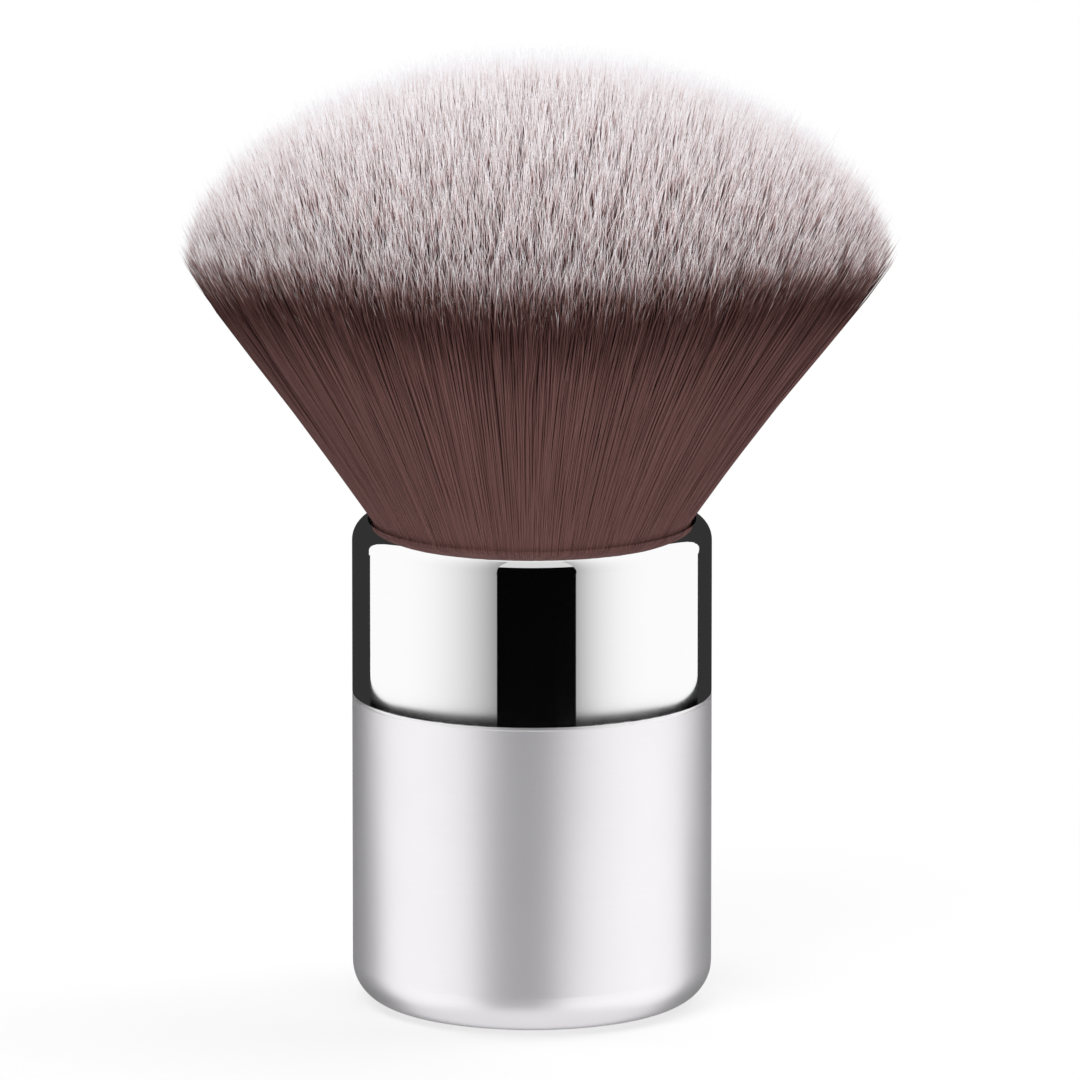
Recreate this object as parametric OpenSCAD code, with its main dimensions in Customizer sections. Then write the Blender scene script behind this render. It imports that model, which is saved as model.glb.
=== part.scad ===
// Kabuki makeup brush that stands upright on the base of its short handle.
// Sizes are millimetres, +Z is up, and the origin is the centre of the base.

/* [Handle] */
// Outer diameter of the satin shell and of the polished ferrule
handle_d = 30; // [28:0.5:34]
// Height of the seam between the shell and the ferrule
seam_h = 26.2; // [24:0.1:34]
// Radius round the bottom edge of the shell
base_edge_r = 3.4; // [2:0.1:5]
// Wall and floor thickness of the drawn shell
shell_wall = 0.8; // [0.6:0.1:1]
// Height of the steel weight in the handle
weight_h = 12; // [6:0.5:14]

/* [Ferrule] */
// Height of the ferrule above the seam
ferrule_h = 14.85; // [14:0.05:22]
// Outer radius of the shoulder that rolls in to the mouth
shoulder_r = 1.85; // [1.4:0.05:2.2]
// Wall thickness of the ferrule
ferrule_wall = 0.5; // [0.4:0.05:0.7]
// Width of the rolled lip, from the outside of the ferrule in to the mouth
lip_w = 1.3; // [1.1:0.05:1.6]

/* [Bristle head] */
// Height of the whole brush, up to the top of the dome
brush_h = 80; // [76:0.5:90]
// Height of the rim at the left and right, where the head is widest
rim_h = 64; // [60:0.5:70]
// Width of the head at the rim, from left to right
head_w = 59; // [50:0.5:64]
// Depth of the head at the rim, from front to back
head_depth = 51; // [46:0.5:64]
// Roundness of the dome, where 2 is an ellipse and less is more pointed
dome_power = 1.8; // [1.5:0.1:2.4]
// Rings of strands, where 9 rings hold 486 strands and 8 hold 384
strand_rings = 9; // [8:1:9]
// Most that a strand's tip stands above or below the dome
tip_spread = 0.5; // [0:0.1:1]

/* [Hidden] */
$fn = 96;
// How far joined shapes run into each other, and how far a cut runs past what it cuts
overlap = 0.01;
reach = 1;

handle_r = handle_d / 2;
mouth_r = handle_r - lip_w;
mouth_h = seam_h + ferrule_h;
head_r = [head_w / 2, head_depth / 2];

// Small bevel on the two edges that meet at the seam
seam_bevel = 0.15;

// Moulded core: its gap to the metal, its walls, and its ribs, which run a little into them
glue_gap = 0.1;
core_wall = 1.8;
deck_t = 2;
rib_t = 1.2;
rib_root = 0.2;
rib_count = 6;
spigot_h = 5.5;
seat_w = 4;
seat_t = 1.6;
core_r = handle_r - shell_wall - glue_gap;
spigot_r = handle_r - ferrule_wall - glue_gap;
core_bottom = shell_wall;
deck_bottom = core_bottom + weight_h;
deck_top = deck_bottom + deck_t;
spigot_top = seam_h + spigot_h;

// Steel weight in a sleeve that stands on the flat of the floor
weight_edge = 0.4;
weight_gap = 0.1;
sleeve_wall = 1.2;
weight_r = handle_r - base_edge_r - sleeve_wall - weight_gap;

// Adhesive grooves in the core, one above its deck and one above the seam
groove_depth = 0.5;
groove_w = 1.6;
shell_groove_rise = 3;
ferrule_groove_rise = 1.8;
shell_groove_z = deck_top + shell_groove_rise;
ferrule_groove_z = seam_h + ferrule_groove_rise;
film_gap = 0.02;

// Cup, which ends below the shoulder's curve
cup_floor = 1.2;
cup_drop = 0.2;
cup_inner_r = mouth_r;
cup_top = mouth_h - shoulder_r - cup_drop;

// Slice of packed roots that fills the mouth, and the cast roots below it with thread round them
knot_gap = 0.15;
knot_r = mouth_r - knot_gap;
slice_t = 2.2;
slice_drop = 0.05;
slice_top = mouth_h - slice_drop;
plug_gap = 0.05;
plug_r = cup_inner_r - plug_gap;
plug_bottom = spigot_top + cup_floor;
plug_top = slice_top - slice_t;
thread_t = 0.55;
thread_w = 3;
thread_bottom = (plug_bottom + plug_top - thread_w) / 2;

// Levels of a strand, each as the share of its length, of its spread and of its cell's width
strand_levels = [[0, 0, 1], [0.5, 0.485, 0.9], [0.86, 0.89, 0.68], [1, 1, 0]];
// How evenly the strands fan out: 1 crowds the middle of the dome, and more crowds the rim
fan_power = 1.4;
// Turn of each ring of strands against the last, in degrees
ring_turn = 3;
// How far the corners of the strands' cells stray, as a share of a cell
stray_share = 0.16;
tip_seed = 7;
stray_seed = 11;

// Filled outline of a round wall with a rounded bottom corner, from the axis out to r
module rounded_section(r, bottom, top, corner) {
    translate([0, bottom + corner])
        square([r, top - bottom - corner]);
    translate([0, bottom])
        square([r - corner, corner + overlap]);
    translate([r - corner, bottom + corner])
        circle(r = corner);
}

// Ring with a rectangular section
module ring(inner_r, outer_r, bottom, height) {
    rotate_extrude()
        translate([inner_r, bottom])
            square([outer_r - inner_r, height]);
}

// Satin aluminium cup, drawn in one piece
module handle_shell() {
    color("silver")
        rotate_extrude()
            difference() {
                rounded_section(handle_r, 0, seam_h, base_edge_r);
                rounded_section(
                    handle_r - shell_wall, shell_wall, seam_h + reach, base_edge_r - shell_wall
                );
                seam_corner(seam_h, -1);
            }
}

// Bevel cut off an outer edge at the seam, below it for side -1 and above it for side 1
module seam_corner(height, side) {
    polygon([
        [handle_r - seam_bevel, height],
        [handle_r + reach, height - side * reach],
        [handle_r + reach, height + side * (seam_bevel + reach)]
    ]);
}

// Ribbed plastic core: a skirt in the shell, a pocket for the weight and a spigot in the ferrule
module handle_core() {
    color("dimgray") {
        difference() {
            rotate_extrude()
                core_section();
            ring(core_r - groove_depth, core_r + reach, shell_groove_z, groove_w);
            ring(spigot_r - groove_depth, spigot_r + reach, ferrule_groove_z, groove_w);
        }
        core_ribs();
    }
}

// Half section of the core: skirt, deck, sleeve, spigot and the seat for the cup
module core_section() {
    skirt_bottom = core_bottom + base_edge_r;
    translate([core_r - core_wall, skirt_bottom])
        square([core_wall, seam_h - skirt_bottom]);
    translate([0, deck_bottom])
        square([core_r, deck_t]);
    translate([weight_r + weight_gap, core_bottom])
        square([sleeve_wall, weight_h + overlap]);
    translate([spigot_r - core_wall, seam_h])
        square([core_wall, spigot_h]);
    translate([spigot_r - seat_w, spigot_top - seat_t])
        square([seat_w, seat_t]);
}

// Ribs from the sleeve to the skirt below the deck, and from the axis to the skirt above it
module core_ribs() {
    rib_bottom = core_bottom + base_edge_r;
    sleeve_r = weight_r + weight_gap + sleeve_wall - rib_root;
    skirt_r = core_r - core_wall + rib_root;
    for (turn = [0 : 360 / rib_count : 359])
        rotate(turn) {
            translate([sleeve_r, -rib_t / 2, rib_bottom])
                cube([skirt_r - sleeve_r, rib_t, deck_bottom + overlap - rib_bottom]);
            translate([0, -rib_t / 2, deck_top - overlap])
                cube([skirt_r, rib_t, seam_h - deck_top]);
        }
}

// Steel slug with broken edges
module base_weight() {
    bottom = core_bottom;
    top = core_bottom + weight_h;
    color("slategray")
        rotate_extrude()
            polygon([
                [0, bottom],
                [weight_r - weight_edge, bottom],
                [weight_r, bottom + weight_edge],
                [weight_r, top - weight_edge],
                [weight_r - weight_edge, top],
                [0, top]
            ]);
}

// Cured adhesive between the core and the shell
module shell_glue() {
    color("khaki")
        ring(
            core_r - groove_depth + film_gap, handle_r - shell_wall - film_gap,
            shell_groove_z, groove_w
        );
}

// Cured adhesive between the core and the ferrule
module ferrule_glue() {
    color("khaki")
        ring(
            spigot_r - groove_depth + film_gap, handle_r - ferrule_wall - film_gap,
            ferrule_groove_z, groove_w
        );
}

// Mirror-polished tube whose top rolls in to the mouth
module ferrule() {
    color("gainsboro")
        rotate_extrude()
            difference() {
                shoulder_section(handle_r, shoulder_r, mouth_h);
                shoulder_section(
                    handle_r - ferrule_wall, shoulder_r - ferrule_wall, mouth_h - ferrule_wall
                );
                translate([0, seam_h - reach])
                    square([mouth_r, ferrule_h + 2 * reach]);
                seam_corner(seam_h, 1);
            }
}

// Filled outline of the ferrule out to r, with its shoulder rounded up to the given top
module shoulder_section(r, corner, top) {
    translate([0, seam_h])
        square([r, top - corner - seam_h]);
    translate([0, top - corner - overlap])
        square([r - corner, corner + overlap]);
    translate([r - corner, top - corner])
        circle(r = corner);
}

// Thin cup that holds the knot under the rolled lip
module knot_cup() {
    color("darkslategray")
        rotate_extrude() {
            translate([0, spigot_top])
                square([spigot_r, cup_floor]);
            translate([cup_inner_r, spigot_top])
                square([spigot_r - cup_inner_r, cup_top - spigot_top]);
        }
}

// Cast resin round the roots, with a waist where the thread lies
module root_plug() {
    color("wheat")
        difference() {
            translate([0, 0, plug_bottom])
                cylinder(r = plug_r, h = plug_top - plug_bottom);
            ring(plug_r - thread_t, plug_r + reach, thread_bottom, thread_w);
        }
}

// Band of thread round the roots
module knot_thread() {
    color("saddlebrown")
        ring(plug_r - thread_t + film_gap, plug_r, thread_bottom, thread_w);
}

function mix(a, b, share) = a + (b - a) * share;

// Two lengths along X and Y, each times its own factor
function stretched(p, factor) = [p[0] * factor[0], p[1] * factor[1]];

// The slice is a disc of grid points in rings: one in the middle and 6 more in each ring than in the last.
// They are the corners of three-sided cells, and a strand grows out of each cell.
function ring_start(k) = k == 0 ? 0 : 1 + 3 * k * (k - 1);

function grid_index(k, m) = k == 0 ? 0 : ring_start(k) + m % (6 * k);

// Place in a disc of radius 1 of point m of ring k. Each ring is turned against the last, and each
// point strays a little from its place, so no straight gap runs through the head.
function grid_point(k, m) =
    k == 0 ? [0, 0]
    : let (
        at = grid_index(k, m),
        angle = 60 * m / k + ring_turn * k + 60 / k * stray[at],
        r = (k + (k < strand_rings ? stray[at + 1] : 0)) / strand_rings
    )
    r * [cos(angle), sin(angle)];

stray = rands(-stray_share, stray_share, ring_start(strand_rings + 1) + 1, stray_seed);

// Cells of ring k, each as its three [ring, point] corners, counter-clockwise from above.
// A cell has one side on the outer circle of its ring, or one side on the inner circle.
function outer_cells(k) = [
    for (s = [0 : 5], m = [0 : k - 1])
        [[k - 1, s * (k - 1) + m], [k, s * k + m], [k, s * k + m + 1]]
];

function inner_cells(k) = [
    if (k > 1)
        for (s = [0 : 5], m = [0 : k - 2])
            [[k - 1, s * (k - 1) + m], [k, s * k + m + 1], [k - 1, s * (k - 1) + m + 1]]
];

function cell_centre(cell) =
    (grid_point(cell[0][0], cell[0][1]) + grid_point(cell[1][0], cell[1][1])
        + grid_point(cell[2][0], cell[2][1])) / 3;

// Height of the rim toward a side. The strands that reach it are equally long, so it is higher
// at the front and back, where they flare less.
function rim_top(toward) =
    let (flare = stretched(toward, head_r - [knot_r, knot_r]))
    mouth_h + sqrt(pow(head_r[0] - knot_r, 2) + pow(rim_h - mouth_h, 2) - flare * flare);

// Height of the dome toward a side, at a share of the way out to the rim
function dome_top(toward, share) =
    mix(rim_top(toward), brush_h, pow(max(0, 1 - pow(share, dome_power)), 1 / dome_power));

// Centre line of a strand from the mouth to the dome, at one of its levels
function strand_point(cell, level, extra) =
    let (
        centre = cell_centre(cell),
        rho = norm(centre),
        last_rho = norm(cell_centre(outer_cells(strand_rings)[0])),
        toward = centre / rho,
        share = 1 - pow(max(0, 1 - rho / last_rho), fan_power),
        p = mix(centre * knot_r, stretched(toward, head_r) * share, level[1]),
        z = mix(slice_top, dome_top(toward, share) + extra, level[0])
    )
    [p[0], p[1], z];

// Corner c of a strand's section at one of its levels
function strand_corner(cell, c, level, extra) =
    let (
        offset = grid_point(cell[c][0], cell[c][1]) - cell_centre(cell),
        side = stretched(offset, mix([knot_r, knot_r], head_r, level[1])) * level[2],
        p = strand_point(cell, level, extra)
    )
    [p[0] + side[0], p[1] + side[1], p[2]];

// Two triangles in place of four corners
function two_triangles(a, b, c, d) = [[a, b, c], [a, c, d]];

// Knot of strands that grow out of one slice of packed roots, as one closed surface
module bristles() {
    cells = [for (k = [1 : strand_rings]) each concat(outer_cells(k), inner_cells(k))];
    lengths = rands(-tip_spread, tip_spread, len(cells), tip_seed);
    middle_levels = len(strand_levels) - 2;
    strand_size = 3 * middle_levels + 1;
    edge_count = 6 * strand_rings;

    feet = [
        for (k = [0 : strand_rings], m = [0 : max(0, 6 * k - 1)])
            let (p = grid_point(k, m) * knot_r)
            [p[0], p[1], slice_top]
    ];
    strands = [
        for (i = [0 : len(cells) - 1])
            each concat(
                [
                    for (level = [1 : middle_levels], c = [0 : 2])
                        strand_corner(cells[i], c, strand_levels[level], lengths[i])
                ],
                [strand_point(cells[i], strand_levels[middle_levels + 1], lengths[i])]
            )
    ];
    underside = [
        for (m = [0 : edge_count - 1])
            let (p = grid_point(strand_rings, m) * knot_r)
            [p[0], p[1], plug_top]
    ];

    first_strand = ring_start(strand_rings + 1);
    first_under = first_strand + len(cells) * strand_size;
    under_middle = first_under + edge_count;

    function section_index(i, level, c) =
        level == 0 ? grid_index(cells[i][c][0], cells[i][c][1])
        : first_strand + i * strand_size + 3 * (level - 1) + c;

    strand_faces = [
        for (i = [0 : len(cells) - 1], c = [0 : 2])
            let (next = (c + 1) % 3, tip = first_strand + (i + 1) * strand_size - 1)
            each concat(
                [
                    for (level = [0 : middle_levels - 1])
                        each two_triangles(
                            section_index(i, level, c), section_index(i, level + 1, c),
                            section_index(i, level + 1, next), section_index(i, level, next)
                        )
                ],
                [[section_index(i, middle_levels, c), tip, section_index(i, middle_levels, next)]]
            )
    ];
    slice_faces = [
        for (m = [0 : edge_count - 1])
            let (next = (m + 1) % edge_count)
            each concat(
                two_triangles(
                    first_under + m, grid_index(strand_rings, m),
                    grid_index(strand_rings, next), first_under + next
                ),
                [[under_middle, first_under + m, first_under + next]]
            )
    ];

    color("#5a4340")
        polyhedron(
            points = concat(feet, strands, underside, [[0, 0, plug_top]]),
            faces = concat(strand_faces, slice_faces),
            convexity = 10
        );
}

handle_shell();
handle_core();
base_weight();
shell_glue();
ferrule_glue();
ferrule();
knot_cup();
root_plug();
knot_thread();
bristles();
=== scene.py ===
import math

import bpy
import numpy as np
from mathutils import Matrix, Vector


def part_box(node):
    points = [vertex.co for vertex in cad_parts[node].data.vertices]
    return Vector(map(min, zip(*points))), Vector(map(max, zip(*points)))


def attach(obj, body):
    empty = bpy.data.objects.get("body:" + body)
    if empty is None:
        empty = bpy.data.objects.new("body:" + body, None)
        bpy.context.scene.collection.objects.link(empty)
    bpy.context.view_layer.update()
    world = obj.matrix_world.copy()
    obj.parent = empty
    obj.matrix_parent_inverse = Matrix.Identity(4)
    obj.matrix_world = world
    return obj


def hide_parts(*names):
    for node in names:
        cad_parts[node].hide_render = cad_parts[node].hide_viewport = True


bl_info = {
    "name": "Kabuki brush",
    "version": (1, 0, 0),
    "blender": (4, 5, 0),
    "location": "View3D > Sidebar > Brush",
    "description": "Dresses a makeup brush: satin shell, mirror ferrule, inner pieces and filaments",
    "category": "Object",
}

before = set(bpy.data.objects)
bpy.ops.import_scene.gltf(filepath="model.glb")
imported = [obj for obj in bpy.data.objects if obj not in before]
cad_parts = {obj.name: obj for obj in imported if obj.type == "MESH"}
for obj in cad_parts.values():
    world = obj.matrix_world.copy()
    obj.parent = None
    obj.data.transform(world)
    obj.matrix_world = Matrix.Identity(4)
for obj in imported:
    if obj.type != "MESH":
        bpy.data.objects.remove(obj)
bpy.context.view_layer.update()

BODY = "root"

# Heights and radii that the packed brush gives, in metres as all sizes here
HANDLE_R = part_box("handle_shell")[1].x
SEAM_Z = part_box("handle_shell")[1].z
MOUTH_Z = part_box("ferrule")[1].z
ROOT_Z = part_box("root_plug")[1].z
ROOT_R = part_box("root_plug")[1].x
HEAD_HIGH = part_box("bristles")[1]


# Settings that a user would change

class HeadSettings(bpy.types.PropertyGroup):
    """Filament head"""

    strands: bpy.props.IntProperty(
        name="Strands", description="How many filaments the knot has", default=40000, min=600
    )
    flank_strands: bpy.props.IntProperty(
        name="Flank strands", description="How many more filaments lie in the outermost layer",
        default=16000, min=200,
    )
    diameter: bpy.props.FloatProperty(
        name="Filament diameter", description="Thickness of one filament", default=0.00013,
        unit="LENGTH", precision=5,
    )
    rim_height: bpy.props.FloatProperty(
        name="Rim height", description="Height of the rim at its left and right",
        default=0.064, unit="LENGTH",
    )
    rim_swell: bpy.props.FloatProperty(
        name="Rim swell", description="How far the rim stands up between its front and its sides",
        default=0.0012, unit="LENGTH",
    )
    dome_height: bpy.props.FloatProperty(
        name="Dome height", description="Height of the middle of the dome", default=0.0806,
        unit="LENGTH",
    )
    dome_power: bpy.props.FloatProperty(
        name="Dome roundness", description="2 is an ellipse, less is more pointed", default=1.8
    )
    fan_power: bpy.props.FloatProperty(
        name="Fan", description="1 spreads filaments evenly, more crowds them at the rim",
        default=1.35,
    )
    white_length: bpy.props.FloatProperty(
        name="White tip", description="Length of the white tip of a filament at the rim",
        default=0.0028, unit="LENGTH",
    )
    white: bpy.props.FloatVectorProperty(
        name="Tip colour", description="Colour of the tips", subtype="COLOR",
        default=(0.925, 0.92, 0.945),
    )
    dark_brown: bpy.props.FloatVectorProperty(
        name="Band colour", description="Colour just below the tips", subtype="COLOR",
        default=(0.128, 0.056, 0.050),
    )
    brown: bpy.props.FloatVectorProperty(
        name="Length colour", description="Colour of the filaments' length", subtype="COLOR",
        default=(0.232, 0.114, 0.106),
    )


class MetalSettings(bpy.types.PropertyGroup):
    """Handle shell and ferrule"""

    satin_colour: bpy.props.FloatVectorProperty(
        name="Satin colour", description="Colour of the anodised shell", subtype="COLOR",
        default=(0.985, 0.965, 0.99),
    )
    satin_roughness: bpy.props.FloatProperty(
        name="Satin roughness", description="Roughness of the anodised shell", default=0.38,
        subtype="FACTOR",
    )
    mirror_colour: bpy.props.FloatVectorProperty(
        name="Mirror colour", description="Colour of the polished ferrule", subtype="COLOR",
        default=(0.97, 0.97, 0.97),
    )
    mirror_roughness: bpy.props.FloatProperty(
        name="Mirror roughness", description="Roughness of the polished ferrule", default=0.028,
        subtype="FACTOR",
    )


class InnerSettings(bpy.types.PropertyGroup):
    """Pieces inside the handle"""

    core_colour: bpy.props.FloatVectorProperty(
        name="Core colour", description="Colour of the moulded core", subtype="COLOR",
        default=(0.030, 0.030, 0.033),
    )
    cup_colour: bpy.props.FloatVectorProperty(
        name="Cup colour", description="Colour of the knot's cup", subtype="COLOR",
        default=(0.014, 0.020, 0.022),
    )
    weight_colour: bpy.props.FloatVectorProperty(
        name="Weight colour", description="Colour of the turned steel", subtype="COLOR",
        default=(0.42, 0.43, 0.45),
    )
    adhesive_colour: bpy.props.FloatVectorProperty(
        name="Adhesive colour", description="Colour of the cured adhesive", subtype="COLOR",
        default=(0.62, 0.46, 0.16),
    )
    resin_colour: bpy.props.FloatVectorProperty(
        name="Resin colour", description="Colour of the cast roots", subtype="COLOR",
        default=(0.50, 0.31, 0.12),
    )
    thread_colour: bpy.props.FloatVectorProperty(
        name="Thread colour", description="Colour of the waxed thread", subtype="COLOR",
        default=(0.10, 0.042, 0.018),
    )
    thread_turns: bpy.props.IntProperty(
        name="Thread turns", description="Turns of thread round the roots", default=10, min=2
    )


class StudioSettings(bpy.types.PropertyGroup):
    """Camera, floor and lights"""

    elevation: bpy.props.FloatProperty(
        name="Camera elevation", description="Angle of the camera above the horizon",
        default=math.radians(11.7), subtype="ANGLE",
    )
    distance: bpy.props.FloatProperty(
        name="Camera distance", description="Distance from the camera to the brush", default=1.5,
        unit="LENGTH",
    )
    frame_width: bpy.props.FloatProperty(
        name="Frame width", description="Width of what the camera sees at the brush",
        default=0.090, unit="LENGTH",
    )
    aim: bpy.props.FloatVectorProperty(
        name="Aim", description="Point in the middle of the frame", subtype="TRANSLATION",
        default=(0.00067, 0, 0.03912),
    )
    key_power: bpy.props.FloatProperty(
        name="Key light", description="Power of the large light above in front", default=2.6,
        unit="POWER",
    )
    left_power: bpy.props.FloatProperty(
        name="Left light", description="Power of the low light on the left", default=1.5,
        unit="POWER",
    )
    right_power: bpy.props.FloatProperty(
        name="Right light", description="Power of the low light on the right", default=2.3,
        unit="POWER",
    )
    top_power: bpy.props.FloatProperty(
        name="Top light", description="Power of the light above and behind", default=2.2,
        unit="POWER",
    )
    left_rim_power: bpy.props.FloatProperty(
        name="Left rim light", description="Power of the high light on the left", default=1.3,
        unit="POWER",
    )
    right_rim_power: bpy.props.FloatProperty(
        name="Right rim light", description="Power of the high light on the right", default=2.0,
        unit="POWER",
    )
    ambient: bpy.props.FloatProperty(
        name="Ambient light", description="Strength of the even light from all sides", default=0.192
    )
    mirrored_backdrop: bpy.props.FloatProperty(
        name="Mirrored backdrop", description="Strength of the backdrop where the metal mirrors it",
        default=0.8,
    )
    floor_colour: bpy.props.FloatVectorProperty(
        name="Floor colour", description="Colour of the floor", subtype="COLOR",
        default=(0.90, 0.90, 0.90),
    )
    floor_bounce: bpy.props.FloatProperty(
        name="Floor bounce", description="Share of the floor's light that falls back on the brush",
        default=0.3, subtype="FACTOR",
    )


SETTINGS = {
    "brush_head": HeadSettings,
    "brush_metal": MetalSettings,
    "brush_inner": InnerSettings,
    "brush_studio": StudioSettings,
}


# Helpers for nodes

def node(tree, kind, values=None, **options):
    """Adds a node, sets its options and its inputs. An input that is a socket is linked."""
    made = tree.nodes.new(kind)
    for name, value in options.items():
        setattr(made, name, value)
    for key, value in (values or {}).items():
        if isinstance(value, bpy.types.NodeSocket):
            tree.links.new(value, made.inputs[key])
        else:
            made.inputs[key].default_value = value
    return made


def maths(tree, operation, *values, clamp=False):
    """Result of one step of arithmetic."""
    inputs = dict(enumerate(values))
    return node(tree, "ShaderNodeMath", inputs, operation=operation, use_clamp=clamp).outputs[0]


def scaled(tree, value, by, plus):
    """A value times one number, plus another."""
    return maths(tree, "MULTIPLY_ADD", value, by, plus)


def grey(tree, value):
    """Grey colour of a value."""
    return node(tree, "ShaderNodeCombineColor", {0: value, 1: value, 2: value}).outputs[0]


def ramp(tree, factor, stops):
    """Colour that changes evenly with factor, between stops of place and colour."""
    made = node(tree, "ShaderNodeValToRGB", {"Fac": factor})
    elements = made.color_ramp.elements
    while len(elements) < len(stops):
        elements.new(1)
    for element, (place, colour) in zip(elements, stops):
        element.position = place
        element.color = (*colour, 1)
    return made.outputs["Color"]


def mixed(tree, factor, first, second, blend="MIX"):
    """Two colours mixed by a factor. Sockets 6 and 7 of the node are its colours, 2 its result."""
    values = {0: factor}
    for key, colour in ((6, first), (7, second)):
        values[key] = colour if isinstance(colour, bpy.types.NodeSocket) else (*colour, 1)
    return node(tree, "ShaderNodeMix", values, data_type="RGBA", blend_type=blend).outputs[2]


def new_group(name, inputs, outputs):
    """Empty node group with named sockets. Returns the tree and its input and output nodes."""
    tree = bpy.data.node_groups.new(name, "ShaderNodeTree")
    for socket, kind, default in inputs:
        made = tree.interface.new_socket(name=socket, in_out="INPUT", socket_type=kind)
        made.default_value = default
    for socket, kind in outputs:
        tree.interface.new_socket(name=socket, in_out="OUTPUT", socket_type=kind)
    return tree, tree.nodes.new("NodeGroupInput"), tree.nodes.new("NodeGroupOutput")


def placed(tree, effect, **values):
    """Puts a shared effect in a material, with its own values. Underscores stand for spaces."""
    inputs = {key.replace("_", " "): value for key, value in values.items()}
    shared = bpy.data.node_groups.get(effect) or EFFECT_BUILDERS[effect]()
    return node(tree, "ShaderNodeGroup", inputs, node_tree=shared).outputs


def principled(name, **constants):
    """New material with one Principled shader. Returns the material, its tree and the shader."""
    material = bpy.data.materials.new(name)
    material.use_nodes = True
    shader = material.node_tree.nodes["Principled BSDF"]
    for key, value in constants.items():
        shader.inputs[key.replace("_", " ")].default_value = value
    return material, material.node_tree, shader


def bumped(tree, height, distance, strength=1.0):
    """Normal that follows a height map of up to the given distance."""
    return node(
        tree, "ShaderNodeBump", {"Height": height, "Distance": distance, "Strength": strength}
    ).outputs["Normal"]


# Shared effects

FLOAT = "NodeSocketFloat"

# Fineness of grain round the handle, noise that an edge wears between, stretch of finger smears
# and fineness of slow changes of tone
GRAIN_TURN = 180
WEAR_PATCH = (0.42, 0.62)
SMEAR_STRETCH = (1.0, 1.0, 0.45)
SLOW_SCALE = 220.0


def build_turned_grain():
    """Fine lines that run round the handle's axis, as turning and brushing leave."""
    tree, given, result = new_group(
        "turned_grain",
        [("Pitch", FLOAT, 0.0002), ("Radius Share", FLOAT, 1.0)],
        [("Height", FLOAT)],
    )
    at = node(tree, "ShaderNodeTexCoord").outputs["Object"]
    split = node(tree, "ShaderNodeSeparateXYZ", {0: at}).outputs
    flat = node(tree, "ShaderNodeCombineXYZ", {0: split[0], 1: split[1]}).outputs[0]
    radius = node(tree, "ShaderNodeVectorMath", {0: flat}, operation="LENGTH").outputs["Value"]
    along = maths(tree, "MULTIPLY_ADD", radius, given.outputs["Radius Share"], split[2])
    lines = maths(tree, "DIVIDE", along, given.outputs["Pitch"])
    arc = node(tree, "ShaderNodeVectorMath", {0: flat, "Scale": GRAIN_TURN}, operation="SCALE")
    turn = node(tree, "ShaderNodeSeparateXYZ", {0: arc.outputs[0]}).outputs
    where = node(tree, "ShaderNodeCombineXYZ", {0: turn[0], 1: turn[1], 2: lines}).outputs[0]
    noise = node(tree, "ShaderNodeTexNoise", {"Vector": where, "Scale": 1.0, "Detail": 3.0})
    tree.links.new(noise.outputs["Fac"], result.inputs["Height"])
    return tree


def build_edge_wear():
    """Mask that is 1 on a worn edge at a given height and fades out in uneven patches."""
    tree, given, result = new_group(
        "edge_wear",
        [("Edge Height", FLOAT, 0.0), ("Width", FLOAT, 0.0006), ("Patches", FLOAT, 900.0)],
        [("Mask", FLOAT)],
    )
    at = node(tree, "ShaderNodeTexCoord").outputs["Object"]
    height = node(tree, "ShaderNodeSeparateXYZ", {0: at}).outputs[2]
    away = maths(tree, "ABSOLUTE", maths(tree, "SUBTRACT", height, given.outputs["Edge Height"]))
    near = node(
        tree, "ShaderNodeMapRange",
        {"Value": away, "From Max": given.outputs["Width"], "To Min": 1.0, "To Max": 0.0},
        interpolation_type="SMOOTHSTEP",
    ).outputs[0]
    patches = node(
        tree, "ShaderNodeTexNoise", {"Vector": at, "Scale": given.outputs["Patches"], "Detail": 4.0}
    ).outputs["Fac"]
    low, high = WEAR_PATCH
    uneven = node(
        tree, "ShaderNodeMapRange", {"Value": patches, "From Min": low, "From Max": high}
    ).outputs[0]
    tree.links.new(maths(tree, "MULTIPLY", near, uneven), result.inputs["Mask"])
    return tree


def build_handling_marks():
    """Soft smears that fingers leave, as a value round 0 to add to a roughness."""
    tree, given, result = new_group(
        "handling_marks",
        [("Scale", FLOAT, 90.0), ("Amount", FLOAT, 0.02)],
        [("Change", FLOAT)],
    )
    at = node(tree, "ShaderNodeTexCoord").outputs["Object"]
    stretched = node(tree, "ShaderNodeMapping", {"Vector": at, "Scale": SMEAR_STRETCH}).outputs[0]
    smears = node(
        tree, "ShaderNodeTexNoise",
        {"Vector": stretched, "Scale": given.outputs["Scale"], "Detail": 3.0, "Distortion": 0.6},
    ).outputs["Fac"]
    centred = maths(tree, "SUBTRACT", smears, 0.5)
    change = maths(tree, "MULTIPLY", centred, given.outputs["Amount"])
    tree.links.new(change, result.inputs["Change"])
    return tree


def build_mould_grain():
    """Spark-eroded grain of a moulded or cast surface, with slow changes of tone."""
    tree, given, result = new_group(
        "mould_grain",
        [("Scale", FLOAT, 5000.0)],
        [("Height", FLOAT), ("Tone", FLOAT)],
    )
    at = node(tree, "ShaderNodeTexCoord").outputs["Object"]
    fine = node(
        tree, "ShaderNodeTexNoise", {"Vector": at, "Scale": given.outputs["Scale"], "Detail": 2.0}
    ).outputs["Fac"]
    slow = node(
        tree, "ShaderNodeTexNoise", {"Vector": at, "Scale": SLOW_SCALE, "Detail": 3.0}
    ).outputs["Fac"]
    tree.links.new(fine, result.inputs["Height"])
    tree.links.new(slow, result.inputs["Tone"])
    return tree


EFFECT_BUILDERS = {
    "turned_grain": build_turned_grain,
    "edge_wear": build_edge_wear,
    "handling_marks": build_handling_marks,
    "mould_grain": build_mould_grain,
}


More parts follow.
